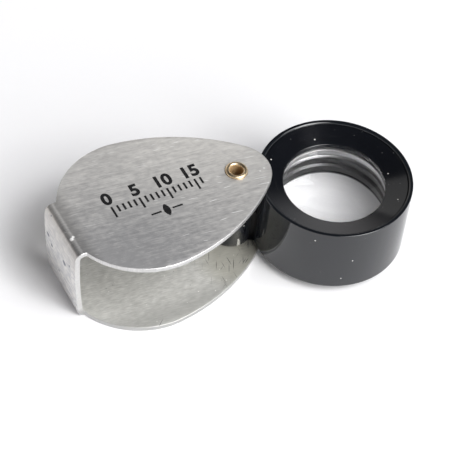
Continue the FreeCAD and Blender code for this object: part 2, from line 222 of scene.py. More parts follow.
class Paint:
    """Node tree of a material or a world; one call adds a node and feeds its inputs."""

    def __init__(self, owner):
        owner.use_nodes = True
        self.owner = owner
        self.tree = owner.node_tree
        self.tree.nodes.clear()

    def feed(self, socket, given):
        """Link a socket, or set a value; colours may be given as (r, g, b)."""
        if isinstance(given, bpy.types.NodeSocket):
            self.tree.links.new(given, socket)
        elif socket.type == "RGBA" and len(given) == 3:
            socket.default_value = (*given, 1.0)
        else:
            socket.default_value = given

    def add(self, kind, inputs=None, **settings):
        """New node; inputs are fed by name or index, settings are its own properties."""
        node = self.tree.nodes.new("ShaderNode" + kind)
        for key, setting in settings.items():
            setattr(node, key, setting)
        for key, given in (inputs or {}).items():
            self.feed(node.inputs[key], given)
        return node

    def scaled(self, place, factor):
        """Vector times a number."""
        return self.add("VectorMath", {0: place, "Scale": factor}, operation="SCALE").outputs[0]

    def object_mm(self):
        """Position in the shared frame, in millimetres."""
        return self.scaled(self.add("TexCoord").outputs["Object"], 1 / MM)

    def strip_mm(self):
        """Position on the flattened strip, in millimetres along and across it."""
        return self.scaled(self.add("UVMap", uv_map="strip").outputs["UV"], STRIP_UNIT)

    def along(self, axis, place):
        """One coordinate of a position."""
        return self.add("SeparateXYZ", {0: place}).outputs[axis]

    def level(self, place):
        """Position brought down to height zero."""
        return self.add("VectorMath", {0: place, 1: (1, 1, 0)}, operation="MULTIPLY").outputs[0]

    def round_mm(self, about_x=0.0, about_y=0.0):
        """Turn, radius and height about a vertical axis: (arc length, radius, z)."""
        about = (-about_x, -about_y, 0)
        place = self.add("VectorMath", {0: self.object_mm(), 1: about}).outputs[0]
        turn = self.math("ARCTAN2", self.along("Y", place), self.along("X", place))
        radius = self.add("VectorMath", {0: self.level(place)}, operation="LENGTH").outputs["Value"]
        arc = self.math("MULTIPLY", turn, ARC_RADIUS)
        parts = {"X": arc, "Y": radius, "Z": self.along("Z", place)}
        return self.add("CombineXYZ", parts).outputs[0]

    def stretched(self, place, size, angle):
        """Coordinates in which features of a size, lying at an angle, become unit ones."""
        turned = self.add("VectorRotate", {"Vector": place, "Angle": radians(-angle)},
                          rotation_type="Z_AXIS").outputs[0]
        return self.add("VectorMath", {0: turned, 1: tuple(1 / length for length in size)},
                        operation="MULTIPLY").outputs[0]

    def grain(self, place, size, angle=0.0, detail=2.0, seed=0.0):
        """Noise from 0 to 1 with features of the given size (x, y, z), lying at an angle."""
        noise = self.add("TexNoise", {"Vector": self.stretched(place, size, angle), "W": seed,
                                      "Scale": 1.0, "Detail": detail}, noise_dimensions="4D")
        return noise.outputs[0]

    def marks(self, place, cell, size, share, seed):
        """Soft round marks: one in some of the cells, share of them from 0 to 1."""
        shifted = self.add("VectorMath", {0: place, 1: (seed, seed, seed)}).outputs[0]
        cells = self.add("TexVoronoi", {"Vector": shifted, "Scale": 1 / cell})
        near = self.fade(cells.outputs["Distance"], size / cell, 0.5 * size / cell)
        lot = self.add("SeparateColor", {0: cells.outputs["Color"]}).outputs[0]
        return self.math("MULTIPLY", near, self.math("LESS_THAN", lot, share))

    def strokes(self, place, length, width, angle, share, seed):
        """Thin straight scratches at an angle, in some of the cells."""
        return self.marks(self.stretched(place, (length, width, 1.0), angle), 2.0, 0.5, share, seed)

    def spot(self, place, centre, radius, core=0.4):
        """1 in the core of a soft round spot about a point, 0 outside its radius."""
        gap = self.add("VectorMath", {0: place, 1: centre}, operation="DISTANCE").outputs["Value"]
        return self.fade(gap, radius, radius * core)

    def fade(self, given, low, high):
        """0 at low, 1 at high, smooth between."""
        node = self.add("MapRange", {"Value": given, "From Min": low, "From Max": high},
                        interpolation_type="SMOOTHSTEP")
        return node.outputs[0]

    def between(self, given, low, high):
        """Turn 0..1 into low..high."""
        return self.add("MapRange", {"Value": given, "To Min": low, "To Max": high}).outputs[0]

    def math(self, operation, first, second):
        """Result of a Math node of two sockets or numbers."""
        return self.add("Math", {0: first, 1: second}, operation=operation).outputs[0]

    def gather(self, operation, *parts):
        """One Math operation over any number of sockets and numbers."""
        result = parts[0]
        for part in parts[1:]:
            result = self.math(operation, result, part)
        return result

    total = partialmethod(gather, "ADD")
    product = partialmethod(gather, "MULTIPLY")
    most = partialmethod(gather, "MAXIMUM")

    def mix(self, share, first, second):
        """Colour mix; colours are (r, g, b) or sockets."""
        node = self.tree.nodes.new("ShaderNodeMix")
        node.data_type = "RGBA"
        sockets = [socket for socket in node.inputs if socket.enabled]
        for socket, given in zip(sockets, (share, first, second)):
            self.feed(socket, given)
        return next(socket for socket in node.outputs if socket.enabled)

    def over(self, colour, mask, strength, tint):
        """Colour with a tint laid over it where the mask is 1."""
        return self.mix(self.product(mask, strength), colour, tint)

    def bump(self, height, depth, strength=1.0):
        """Normal of a surface whose height of 0 to 1 stands for a depth in millimetres."""
        inputs = {"Height": height, "Distance": depth * MM, "Strength": strength}
        return self.add("Bump", inputs).outputs[0]

    def surface(self, **inputs):
        """Principled shader, finished into the material; words_like_this name its inputs."""
        shader = self.add("BsdfPrincipled")
        for key, given in inputs.items():
            name = key.replace("_", " ").title().replace("Ior", "IOR")
            self.feed(shader.inputs[name], given)
        return self.show(shader.outputs[0])

    def show(self, shader, kind="OutputMaterial"):
        """Link a shader to a new output and return the material or world."""
        output = self.add(kind)
        self.tree.links.new(shader, output.inputs["Surface"])
        return self.owner


def paint_for(name):
    """Empty node tree of a new material."""
    return Paint(bpy.data.materials.new(name))


# --- materials ---

STRIP_UNIT = 100.0  # millimetres to one unit of the strip's UV map
ARC_RADIUS = 10.0  # radius at which turns about an axis are measured as lengths
BRUSH_ANGLE = 6.0  # the brushing runs slightly across the strip
ACROSS_BRUSHING = 0.25  # a quarter turn: reflections smear across the brush lines

# Knocks in the web and the upper bend: distance along the strip from the notch, across it,
# radius and depth.
KNOCKS = [
    (7.3, 4.7, 0.66, 0.13),
    (8.6, 3.3, 0.50, 0.09),
    (7.9, -1.4, 0.74, 0.16),
    (12.6, 1.0, 0.30, 0.06),
    (6.2, -3.6, 0.34, 0.06),
    (1.9, 3.9, 0.22, 0.05),
]
# Bright nicks by the upper notch and at the tip: along the strip, across it, and radius.
BRIGHT_NICKS = [
    (1.0, -2.3, 0.46),
    (0.6, -2.0, 0.34),
    (-34.3, -1.29, 0.24),
    (-33.4, -1.61, 0.26),
]
# Along the strip from the notch; the upper leaf is negative. A pair is where a look starts and
# where it is full.
BEND_LIT = 1.7  # where the upper bend turns from dark to bright
BEND_SOFT = 0.5
# Painted shade in the upper bend: where the dark band starts and where it is full.
CREASE_SHADE = (-2.6, 0.6)
DARK_BEND = (0.3, 1.0)
UPPER_WEB_DARKER = (8.0, 3.0)
TIP_SCRATCHES = (-10.0, -24.0)
WEB_START = 3.2
WEB_END = 17.5
WEB_SOFT = 1.0


def brushed_surface(paint, colour, rough, height, depth, anisotropic):
    """Metal whose reflections smear across the strip's brush lines."""
    along_strip = paint.add("Tangent", direction_type="UV_MAP", uv_map="strip").outputs[0]
    return paint.surface(base_color=colour, metallic=1.0, roughness=rough, tangent=along_strip,
                         anisotropic=anisotropic, anisotropic_rotation=ACROSS_BRUSHING,
                         normal=paint.bump(height, depth))


def paint_web(paint, place, along, colour):
    """Dull blotches on the web, and the web darker and warmer towards the upper bend: the web's share
    and the colour.
    """
    web = paint.product(paint.fade(along, WEB_START - WEB_SOFT, WEB_START),
                        paint.fade(along, WEB_END + WEB_SOFT, WEB_END))
    blotch = paint.fade(paint.grain(place, (0.7, 1.4, 1), 0, 4, 13), 0.34, 0.66)
    dull = paint.mix(blotch, (0.64, 0.645, 0.66), (0.93, 0.915, 0.89))
    colour = paint.over(colour, web, 0.8, dull)
    upper_web_darkening = paint.product(paint.fade(along, *UPPER_WEB_DARKER), paint.fade(along, BEND_LIT - BEND_SOFT, BEND_LIT))
    return web, paint.over(colour, upper_web_darkening, 0.4, (0.52, 0.49, 0.45))


def paint_crease(paint, along, colour):
    """Painted shade: a dark line where the upper leaf bends, on its unlit side: the dark bend's share
    and the colour.
    """
    unlit = paint.fade(along, BEND_LIT, BEND_LIT - BEND_SOFT)
    crease_shade = paint.product(paint.fade(along, *CREASE_SHADE), unlit)
    dark_bend = paint.product(paint.fade(along, *DARK_BEND), unlit)
    return dark_bend, paint.over(colour, crease_shade, 0.52, (0.15, 0.145, 0.14))


def paint_wear(paint, place, along, colour):
    """Scratches, pits, nicks and painted shade in the knocks: the scratches and the colour."""
    near_tip = paint.fade(along, *TIP_SCRATCHES)
    scratches = paint.most(
        paint.strokes(place, 3.0, 0.17, BRUSH_ANGLE + 3, 0.09, 11.0),
        paint.strokes(place, 1.8, 0.16, BRUSH_ANGLE - 5, 0.08, 19.0),
        paint.strokes(place, 1.1, 0.15, BRUSH_ANGLE + 12, 0.05, 27.0))
    scratches = paint.product(scratches, paint.between(near_tip, 0.35, 1.0))
    nicks = [paint.spot(place, (x, y, 0), radius) for x, y, radius in BRIGHT_NICKS]
    pits = paint.most(paint.marks(place, 1.9, 0.14, 0.12, 4.0), *nicks)
    # Painted shade darkens the knocks.
    knock_shade = paint.most(*[paint.spot(place, (x, y, 0), radius) for x, y, radius, _ in KNOCKS])
    colour = paint.over(colour, scratches, 0.95, (1.0, 1.0, 0.99))
    colour = paint.over(colour, pits, 0.8, (1.0, 1.0, 0.99))
    return scratches, paint.over(colour, knock_shade, 0.85, (0.14, 0.16, 0.20))


def brushed_aluminium():
    """Outer faces of the case: satin brushing, bright scratches, knocks, a blotchy web, and painted
    light and shade.
    """
    paint = paint_for("brushed_aluminium")
    place = paint.strip_mm()
    along = paint.along("X", place)
    across = paint.along("Y", place)
    fine = paint.grain(place, (1.6, 0.17, 1), BRUSH_ANGLE, 3)
    streaks = paint.grain(place, (7.0, 0.40, 1), BRUSH_ANGLE, 2, 3)
    mottle = paint.grain(place, (1.1, 0.8, 1), BRUSH_ANGLE, 3, 7)
    # Painted light and shade: the outer faces lighter towards +Y and the upper leaf's tip, darker
    # towards -Y, the web and the lower leaf.
    wear_and_painted_shade = paint.total(paint.between(paint.fade(across, -10, 12), -0.33, 0.24),
                       paint.between(paint.fade(along, -4, -32), -0.20, 0.26))
    tone = paint.total(paint.between(fine, -0.42, 0.42), paint.between(streaks, -0.22, 0.22),
                       paint.between(mottle, 0.28, 0.72), wear_and_painted_shade)
    colour = paint.mix(tone, (0.402, 0.401, 0.409), (0.865, 0.847, 0.813))
    web, colour = paint_web(paint, place, along, colour)
    dark_bend, colour = paint_crease(paint, along, colour)
    scratches, colour = paint_wear(paint, place, along, colour)
    rough = paint.total(paint.between(streaks, 0.40, 0.48), paint.between(mottle, -0.04, 0.04),
                        paint.product(web, 0.06), paint.product(dark_bend, 0.30))
    height = paint.total(fine, paint.product(mottle, 0.5), paint.product(scratches, 0.8))
    return brushed_surface(paint, colour, rough, height, 0.006, 0.65)


SCRATCHED_SPOT = (-1.5, -6.0, 0)  # middle of the scratched patch by the pivot
SCRATCHED_RADIUS = 8.5
SCRATCHED_CORE = 3.5 / 8.5
NEAR_EDGE_SHADE = (-7.5, -12.0)  # painted shade: the inner faces darken over this span of y


def mill_aluminium():
    """Inner faces of the case: dull, warm and freckled, with dark scratches by the pivot and painted
    shade towards the -Y edge.
    """
    paint = paint_for("mill_aluminium")
    place = paint.object_mm()
    fine = paint.grain(place, (1.5, 0.20, 1), -BRUSH_ANGLE, 3, 31)
    mottle = paint.grain(place, (1.3, 0.9, 1), 15, 4, 37)
    cloud = paint.grain(place, (6.0, 4.0, 4.0), 15, 2, 39)
    light_specks = paint.marks(place, 0.9, 0.13, 0.18, 2.0)
    dark_specks = paint.marks(place, 1.3, 0.14, 0.16, 9.0)
    tone = paint.total(paint.between(fine, -0.60, 0.60), paint.between(mottle, 0.05, 0.95),
                       paint.between(cloud, -0.15, 0.15))
    colour = paint.mix(tone, (0.49, 0.488, 0.467), (0.85, 0.847, 0.819))
    level = paint.level(place)
    by_pivot = paint.spot(level, SCRATCHED_SPOT, SCRATCHED_RADIUS, SCRATCHED_CORE)
    scratches = paint.most(
        paint.strokes(level, 2.8, 0.17, 62, 0.55, 41.0),
        paint.strokes(level, 2.2, 0.16, 88, 0.50, 47.0),
        paint.strokes(level, 1.8, 0.16, 35, 0.40, 53.0))
    scratches = paint.product(scratches, by_pivot)
    stray = paint.strokes(level, 3.4, 0.13, 40, 0.012, 59.0)
    colour = paint.over(colour, by_pivot, 0.6, (0.50, 0.485, 0.41))
    # Painted shade: the inner faces darken towards the -Y edge.
    near_edge_shade = paint.fade(paint.along("Y", place), *NEAR_EDGE_SHADE)
    colour = paint.over(colour, near_edge_shade, 0.45, (0.30, 0.30, 0.285))
    colour = paint.over(colour, light_specks, 0.7, (1.0, 0.99, 0.96))
    colour = paint.over(colour, dark_specks, 0.45, (0.28, 0.28, 0.27))
    colour = paint.over(colour, paint.most(scratches, stray), 0.75, (0.10, 0.10, 0.10))
    rough = paint.between(mottle, 0.55, 0.68)
    height = paint.total(fine, paint.product(mottle, 0.6), paint.product(light_specks, 1.5))
    return brushed_surface(paint, colour, rough, height, 0.010, 0.3)


TABLE_SHADE = (-5.5, -7.0)  # painted shade: the cut edge darkens over this span of height


def sheared_aluminium():
    """Cut edges of the strip: bright, with patches and fine vertical tears, and painted shade by the
    table.
    """
    paint = paint_for("sheared_aluminium")
    place = paint.object_mm()
    tears = paint.grain(place, (0.14, 0.14, 1.2), 0, 2, 51)
    patches = paint.grain(place, (1.2, 1.2, 0.35), 0, 3, 57)
    tone = paint.total(paint.between(tears, -0.3, 0.3), paint.between(patches, 0.2, 0.8))
    colour = paint.mix(tone, (0.48, 0.48, 0.475), (0.81, 0.805, 0.795))
    # Painted shade: the cut edges darken by the table.
    table_shade = paint.fade(paint.along("Z", place), *TABLE_SHADE)
    colour = paint.over(colour, table_shade, 0.75, (0.42, 0.42, 0.41))
    return paint.surface(base_color=colour, metallic=1.0, roughness=paint.between(patches, 0.36, 0.56),
                         normal=paint.bump(tears, 0.006))


def eyelet_brass():
    """Rolled brass: golden where it is rubbed, brown in the bore and under the roll."""
    paint = paint_for("eyelet_brass")
    place = paint.object_mm()
    turned = paint.round_mm()
    wear = paint.grain(place, (0.5, 0.5, 0.5), 0, 3, 61)
    lines = paint.grain(turned, (2.5, 0.06, 0.3), 0, 2, 67)
    rubbed = paint.fade(paint.along("Z", turned), CASE_TOP + 0.02, CASE_TOP + 0.30)
    inside = paint.fade(paint.along("Y", turned), EYELET_BORE + 0.14, EYELET_BORE + 0.02)
    gold = paint.mix(wear, (0.68, 0.50, 0.29), (0.97, 0.83, 0.60))
    brown = paint.mix(wear, (0.28, 0.17, 0.08), (0.60, 0.42, 0.22))
    colour = paint.mix(rubbed, brown, gold)
    colour = paint.mix(inside, colour, brown)
    rough = paint.total(paint.between(wear, 0.24, 0.42), paint.product(inside, 0.25))
    return paint.surface(base_color=colour, metallic=paint.between(inside, 1.0, 0.25), roughness=rough,
                         normal=paint.bump(lines, 0.008))


# Painted highlight, a pale streak low on the lug: x, y, z and radius of the spots that make it up.
LUG_HIGHLIGHT_SPOTS = [
    (-0.20, -3.74, -6.75, 0.40),
    (-0.20, -3.74, -6.40, 0.36),
    (-0.24, -3.74, -6.05, 0.34),
    (-0.28, -3.74, -5.70, 0.30),
    (-0.36, -3.73, -5.35, 0.26),
]
NECK_DULL = 1.6  # the lacquer loses its gloss this close to a neck fillet
LIP_EDGE = (APERTURE + 0.25, APERTURE + 0.1)  # the lower aperture's lip, where light is painted: radius, height
LIP_TOP = (-4.5, -5.0)


def neck_spots(paint, place):
    """1 beside the two fillets between the drum and its lug, at any height."""
    along, across = fillet_centre()
    level = paint.level(place)
    turn = Matrix.Rotation(SWING, 3, "Z")
    centres = [turn @ Vector((LENS_OFFSET - along, side * across, 0)) for side in (-1, 1)]
    return paint.most(*[paint.spot(level, centre, NECK_DULL) for centre in centres])


def foot_lip(paint, turned):
    """1 on the lip of the drum's lower aperture, where light is painted, in round coordinates."""
    return paint.product(paint.fade(paint.along("Y", turned), *LIP_EDGE),
                         paint.fade(paint.along("Z", turned), *LIP_TOP))


def dusty_black(name, base, gloss, index):
    """Glossy black lacquer or moulding with faint wipe marks, pale dust, a dull neck, a painted
    highlight low on the lug and painted light on the lower aperture's lip.
    """
    paint = paint_for(name)
    place = paint.object_mm()
    peel = paint.grain(place, (0.7, 0.7, 0.7), 0, 1, 71)
    cloud = paint.grain(place, (3, 3, 3), 0, 3, 73)
    turned = paint.round_mm(AXIS_X, AXIS_Y)
    wipes = paint.fade(paint.grain(turned, (5.0, 0.25, 0.12), 0, 1, 79), 0.66, 0.78)
    dust = paint.marks(place, 1.5, 0.16, 0.30, 3.0)
    haze = paint.marks(place, 0.8, 0.10, 0.16, 8.0)
    colour = paint.mix(cloud, base, tuple(channel * 1.7 for channel in base))
    colour = paint.over(colour, wipes, 0.02, (0.5, 0.5, 0.5))
    colour = paint.over(colour, haze, 0.14, (0.6, 0.6, 0.58))
    colour = paint.over(colour, dust, 0.7, (0.8, 0.79, 0.75))
    # Painted light: the lower aperture's lip is lifted to a pale grey.
    colour = paint.over(colour, foot_lip(paint, turned), 0.85, (0.26, 0.26, 0.27))
    # Painted highlight: a pale streak low on the lug.
    lug_highlight = paint.most(*[paint.spot(place, centre, radius) for *centre, radius in LUG_HIGHLIGHT_SPOTS])
    colour = paint.over(colour, lug_highlight, 0.7, (0.62, 0.61, 0.57))
    neck = neck_spots(paint, place)
    rough = paint.total(paint.between(cloud, gloss - 0.03, gloss + 0.03), paint.product(dust, 0.4),
                        paint.product(neck, 0.42))
    height = paint.product(paint.total(peel, paint.product(dust, 1.5)), paint.between(neck, 1.0, 0.0))
    return paint.surface(base_color=colour, roughness=rough, ior=index,
                         normal=paint.bump(height, 0.003))


def optical_glass():
    """Clear crown glass with a trace of smudge; lamps shine through it."""
    paint = paint_for("optical_glass")
    place = paint.object_mm()
    smudge = paint.fade(paint.grain(place, (3.0, 1.5, 3.0), 35, 3, 83), 0.55, 0.80)
    dust = paint.marks(place, 1.8, 0.06, 0.2, 5.0)
    rough = paint.product(paint.most(smudge, dust), 0.03)
    colour = paint.mix(smudge, (1.0, 1.0, 1.0), (0.985, 0.99, 0.985))
    glass = paint.add("BsdfPrincipled", {"Base Color": colour, "Roughness": rough, "IOR": 1.52,
                                         "Transmission Weight": 1.0})
    clear = paint.add("BsdfTransparent", {"Color": (1.0, 1.0, 1.0)})
    lamp_ray = paint.add("LightPath").outputs["Is Shadow Ray"]
    both = paint.add("MixShader", {0: lamp_ray, 1: glass.outputs[0], 2: clear.outputs[0]})
    return paint.show(both.outputs[0])


SPACER_SHADE = (0.15, 0.6)  # painted light and shade: the spacer brightens over this span of height


def turned_aluminium():
    """Spacer between the glasses: painted shade below and painted light above, with fine turning
    lines.
    """
    paint = paint_for("turned_aluminium")
    turned = paint.round_mm(AXIS_X, AXIS_Y)
    lines = paint.grain(turned, (6.0, 0.10, 0.10), 0, 2, 91)
    mottle = paint.grain(paint.object_mm(), (1.5, 1.5, 0.8), 0, 3, 97)
    tone = paint.total(paint.between(lines, -0.3, 0.3), paint.between(mottle, 0.25, 0.75))
    dark = paint.mix(tone, (0.035, 0.035, 0.036), (0.15, 0.15, 0.153))
    bright = paint.mix(tone, (0.28, 0.28, 0.284), (0.66, 0.66, 0.67))
    # Painted light and shade: a lit copy above and a shaded copy below.
    colour = paint.mix(paint.fade(paint.along("Z", turned), *SPACER_SHADE), dark, bright)
    return paint.surface(base_color=colour, metallic=1.0, roughness=paint.between(mottle, 0.36, 0.50),
                         normal=paint.bump(lines, 0.008))


def printed_ink():
    """Screen-printed black, slightly broken where the brushing shows through."""
    paint = paint_for("printed_ink")
    place = paint.object_mm()
    wear_and_painted_shade = paint.fade(paint.grain(place, (1.6, 0.10, 1), -BRUSH_ANGLE, 2, 101), 0.64, 0.74)
    cloud = paint.grain(place, (0.6, 0.6, 0.6), 0, 3, 103)
    colour = paint.mix(cloud, (0.005, 0.005, 0.006), (0.016, 0.016, 0.017))
    colour = paint.over(colour, wear_and_painted_shade, 0.3, (0.35, 0.35, 0.35))
    return paint.surface(base_color=colour, roughness=paint.between(cloud, 0.45, 0.65),
                         specular_ior_level=0.2, normal=paint.bump(cloud, 0.004))


def white_table():
    """Pale matt card with a barely visible tooth."""
    paint = paint_for("white_table")
    place = paint.object_mm()
    tooth = paint.grain(place, (0.9, 0.9, 0.9), 0, 4, 107)
    cloud = paint.grain(place, (60, 60, 60), 0, 3, 109)
    tone = paint.total(paint.between(tooth, -0.25, 0.25), paint.between(cloud, 0.3, 0.7))
    colour = paint.mix(tone, (0.905, 0.904, 0.920), (0.930, 0.928, 0.944))
    return paint.surface(base_color=colour, roughness=0.75, normal=paint.bump(tooth, 0.01, 0.5))


# --- case ---

END_STEPS = 36
SIDE_STEPS = 44
TIP_STEPS = 28
TAB_STEPS = 44
LEAF_RINGS = 14
FLAT_STEPS = 2
BEND_STEPS = 10
WEB_STEPS = 52
CASE_EDGE = 0.10  # rounding of the sheet's cut edges
OUTER_SLOT = 0  # material slots of the folded case
INNER_SLOT = 1
CUT_SLOT = 2

FOOT_BEND_Z = -CASE_TOP + BEND_RADIUS
WEB_CENTRE = (WEB_X + WEB_RADIUS, CASE_TOP - BEND_RADIUS)
FOOT_BEND_X = WEB_CENTRE[0] - sqrt(
    (WEB_RADIUS - BEND_RADIUS) ** 2 - (WEB_CENTRE[1] - FOOT_BEND_Z) ** 2)
WEB_TURN = asin((WEB_CENTRE[1] - FOOT_BEND_Z) / (WEB_RADIUS - BEND_RADIUS))
FOOT_TURN = 1.5 * pi - asin((FOOT_BEND_X - NOTCH_X) / BEND_RADIUS)


def leaf_outline():
    """Edge of a leaf from the notch at +Y round the tip to the notch at -Y."""
    to_end = SIDE_RADIUS - LEAF_RADIUS
    to_tip = SIDE_RADIUS - TIP_RADIUS
    along = (to_end ** 2 - to_tip ** 2 + LEAF_REACH ** 2) / (2 * LEAF_REACH)
    across = sqrt(to_end ** 2 - along ** 2)
    side_centre = (along - LEAF_REACH, -across)
    end_turn = atan2(across, -along)
    tip_turn = atan2(across, LEAF_REACH - along)
    notch_turn = pi - asin(HALF_TAB / LEAF_RADIUS)
    upper = arc_points((-LEAF_REACH, 0), LEAF_RADIUS, notch_turn, end_turn, END_STEPS)
    upper += arc_points(side_centre, SIDE_RADIUS, end_turn, tip_turn, SIDE_STEPS)[1:]
    upper += arc_points((0, 0), TIP_RADIUS, tip_turn, 0, TIP_STEPS)[1:]
    return upper + [(x, -y) for x, y in reversed(upper[:-1])]


def top_section(x):
    """Side view of the upper leaf's outer face."""
    return (x, CASE_TOP, 0.0, 1.0)


def strip_stations():
    """Side view of the outer face between the two notch lines: (x, z, normal x, normal z)."""
    bend_x = WEB_X + BEND_RADIUS
    stations = [top_section(x) for x in spread(NOTCH_X, bend_x, FLAT_STEPS)]
    web_start = pi
    web_end = web_start + WEB_TURN
    runs = [
        ((bend_x, WEB_CENTRE[1]), BEND_RADIUS, web_start / 2, web_start, BEND_STEPS),
        (WEB_CENTRE, WEB_RADIUS, web_start, web_end, WEB_STEPS),
        ((FOOT_BEND_X, FOOT_BEND_Z), BEND_RADIUS, web_end, FOOT_TURN, BEND_STEPS),
    ]
    for centre, radius, start, end, steps in runs:
        for turn in spread(start, end, steps)[1:]:
            normal = (cos(turn), sin(turn))
            stations.append((centre[0] + radius * normal[0], centre[1] + radius * normal[1], *normal))
    return stations


def foot_section(x):
    """Side view of the lower leaf's outer face, which starts inside the lower bend."""
    if x >= FOOT_BEND_X:
        return (x, -CASE_TOP, 0.0, -1.0)
    turn = 1.5 * pi - asin((FOOT_BEND_X - x) / BEND_RADIUS)
    height = FOOT_BEND_Z + BEND_RADIUS * sin(turn)
    return (x, height, cos(turn), sin(turn))


def knock_depth(along, across):
    """How far the knocks push the outer face in at a point of the strip."""
    depth = 0.0
    for knock_along, knock_across, radius, deepest in KNOCKS:
        gap = hypot(along - knock_along, (across - knock_across) * 0.7) / radius
        depth += deepest * exp(-gap ** 2)
    return depth


class Sheet:
    """Mesh of the strip: an outer and an inner skin, cut edges, and its flat layout as a UV map."""

    def __init__(self):
        self.edit = bmesh.new()
        self.uv_layer = self.edit.loops.layers.uv.new("strip")
        self.flat_place = {}

    def add_point(self, section, across, along):
        """The outer and the inner vertex of one point of the strip."""
        x, z, normal_x, normal_z = section
        pair = []
        for inset in (knock_depth(along, across), SHEET):
            vertex = self.edit.verts.new((x - inset * normal_x, across, z - inset * normal_z))
            self.flat_place[vertex] = (along / STRIP_UNIT, across / STRIP_UNIT)
            pair.append(vertex)
        return pair

    def add_faces(self, row, following, closed, slot):
        """Quads between two rows of vertices, with a material slot."""
        for face in bridge(self.edit, row, following, closed):
            face.material_index = slot

    def add_skins(self, rows, closed):
        """Outer and inner quads between rows of points."""
        for row, following in zip(rows, rows[1:]):
            for side in (OUTER_SLOT, INNER_SLOT):
                self.add_faces([pair[side] for pair in row], [pair[side] for pair in following],
                               closed, side)

    def add_cut(self, row, closed):
        """Cut edge of the sheet along a row of points."""
        outer, inner = zip(*row)
        self.add_faces(outer, inner, closed, CUT_SLOT)

    def add_leaf(self, outline, tab_line, section, along):
        """One leaf, in rings from the eyelet's hole out to its outline and the notch line."""
        rows = []
        for share in spread(0, 1, LEAF_RINGS):
            row = []
            for x, y in outline + tab_line[1:-1]:
                scale = EYELET_RADIUS / hypot(x, y)
                scale += (1 - scale) * share
                row.append(self.add_point(section(x * scale), y * scale, along(x * scale)))
            rows.append(row)
        self.add_skins(rows, True)
        self.add_cut(rows[0], True)
        self.add_cut(rows[-1][:len(outline)], False)

    def add_bends(self, tab_line, stations, distances):
        """The two bends with the web between them."""
        rows = [[self.add_point(station, y, along) for _, y in tab_line]
                for station, along in zip(stations, distances)]
        self.add_skins(rows, False)
        self.add_cut([row[0] for row in rows], False)
        self.add_cut([row[-1] for row in rows], False)

    def store_layout(self):
        """Write each vertex's place on the flat strip to the UV map."""
        for face in self.edit.faces:
            for corner in face.loops:
                corner[self.uv_layer].uv = self.flat_place[corner.vert]


def make_case():
    """One strip of sheet: upper leaf, bend, web, bend, lower leaf."""
    outline = leaf_outline()
    tab_line = [(NOTCH_X, y) for y in spread(-HALF_TAB, HALF_TAB, TAB_STEPS)]
    stations = strip_stations()
    distances = [0.0]
    for station, following in zip(stations, stations[1:]):
        distances.append(distances[-1] + dist(station[:2], following[:2]))
    sheet = Sheet()
    sheet.add_leaf(outline, tab_line, top_section, lambda x: NOTCH_X - x)
    sheet.add_leaf(outline, tab_line, foot_section, lambda x: distances[-1] + x - NOTCH_X)
    sheet.add_bends(tab_line, stations, distances)
    sheet.store_layout()
    piece = piece_from("folded_case", sheet.edit,
                       [brushed_aluminium(), mill_aluminium(), sheared_aluminium()])
    soften_edges(piece, CASE_EDGE, 45)
    stand_for(piece, "case_shell", "case")


def make_eyelet():
    """Thin brass tube, rolled over above and flared flush with the case below."""
    roll_radius = (EYELET_HEAD - EYELET_BORE) / 2
    roll = (EYELET_BORE + roll_radius, CASE_TOP)
    profile = [(EYELET_RADIUS, -CASE_TOP + EYELET_HEAD - EYELET_RADIUS), (EYELET_RADIUS, CASE_TOP)]
    profile += arc_points(roll, roll_radius, 0, pi, 16)
    profile += [(EYELET_BORE, z) for z in spread(CASE_TOP, -CASE_TOP, 12)[1:]]
    profile.append((EYELET_HEAD, -CASE_TOP))
    piece = lathe("brass_eyelet", profile, eyelet_brass(), 96)
    stand_for(piece, "pivot_eyelet", "case")


# --- print on the upper leaf ---

PRINT_LIFT = 0.004
PRINT_THICKNESS = 0.012
SCALE_START = -22.2
NUMERAL_SIZE = 3.3
NUMERAL_BASE = 1.9
NUMERAL_WEIGHT = 0.13
LAST_NUMERAL = 15
TICK_COUNT = 17
TICK_TOP = 1.2
TICK_WIDTH = 0.36
LONG_TICK = 2.3
SHORT_TICK = 1.4
MARK_CENTRE = (SCALE_START + 8.0, -2.9)
MARK_CURVE = 1.75
MARK_HALF_HEIGHT = 1.3
MARK_AXIS = (1.0, 2.8)  # the axis runs between these distances on each side
MARK_LINE = 0.32


def print_piece(name, mesh, ink):
    """Printed object of the case from a finished mesh."""
    mesh.materials.clear()
    mesh.materials.append(ink)
    piece = new_object(name, mesh)
    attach(piece, "case")


def make_numerals(ink):
    """0, 5, 10 and 15 above the millimetre scale."""
    for number in range(0, LAST_NUMERAL + 1, 5):
        curve = bpy.data.curves.new("numeral", "FONT")
        curve.body = str(number)
        curve.size = NUMERAL_SIZE * MM
        curve.align_x = "CENTER"
        curve.offset = NUMERAL_WEIGHT * MM
        curve.extrude = PRINT_THICKNESS / 2 * MM
        text = bpy.data.objects.new("numeral", curve)
        mesh = bpy.data.meshes.new_from_object(text)
        bpy.data.objects.remove(text)
        height = CASE_TOP + PRINT_LIFT + PRINT_THICKNESS / 2
        place = Vector((SCALE_START + number, NUMERAL_BASE, height))
        mesh.transform(Matrix.Translation(place * MM))
        print_piece("scale_numeral_%d" % number, mesh, ink)


def add_prism(edit, outline):
    """Thin flat ink shape on the upper leaf."""
    floor = CASE_TOP + PRINT_LIFT
    levels = [[edit.verts.new((x * MM, y * MM, z * MM)) for x, y in outline]
              for z in (floor, floor + PRINT_THICKNESS)]
    edit.faces.new(levels[1])
    edit.faces.new(levels[0][::-1])
    bridge(edit, *levels)


def add_bar(edit, left, right, low, high):
    """Printed rectangle."""
    add_prism(edit, [(left, low), (right, low), (right, high), (left, high)])


def print_shapes(name, edit, ink):
    """Printed object of the case from prisms."""
    mesh = bpy.data.meshes.new(name)
    edit.to_mesh(mesh)
    edit.free()
    print_piece(name, mesh, ink)


